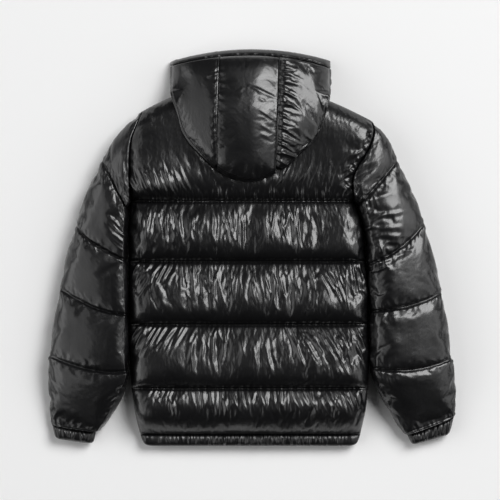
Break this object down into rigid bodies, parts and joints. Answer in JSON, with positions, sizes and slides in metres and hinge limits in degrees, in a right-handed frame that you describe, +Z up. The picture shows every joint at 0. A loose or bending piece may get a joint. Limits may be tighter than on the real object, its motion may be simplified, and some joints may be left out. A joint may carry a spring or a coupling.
{
  "type": "puffer jacket",
  "caption": "Hooded puffer jacket lying face down, with a long-channelled padded back, curved sleeves, gathered hem and cuffs, a three-piece hood and a front zip.",
  "frame": {"origin": "centre of the jacket's bounding box on the floor that it lies on", "axes": "+Z up from the floor, out of the jacket's back; +Y towards the hood; +X towards the sleeve on the right of someone who looks down at the back"},
  "size_m": [0.878, 0.854, 0.1124],
  "materials": {
    "shell": "glossy black nylon",
    "elastic_bands": "satin black gathered nylon",
    "zip_tape": "matte black woven tape",
    "zip_metal": "satin black lacquered zinc"
  },
  "bodies": {
    "jacket": {"back": "shell", "front_left": "shell", "front_right": "shell", "chin_left": "shell", "chin_right": "shell", "sleeve_left": "shell", "sleeve_right": "shell", "cuff_left": "elastic_bands", "cuff_right": "elastic_bands", "hem_band": "elastic_bands", "hood_centre": "shell", "hood_left": "shell", "hood_right": "shell", "hood_rim": "elastic_bands", "zip_left": "zip_tape", "zip_right": "zip_tape", "zip_slider": "zip_metal"},
    "pull": {"zip_pull": "zip_metal"}
  },
  "joints": [
    {"name": "zip_pull_swing", "type": "hinge", "parent": "jacket", "child": "pull", "pos_m": [0, 0.294, 0.0013], "axis": [1, 0, 0], "range_deg": [0, 160]}
  ]
}
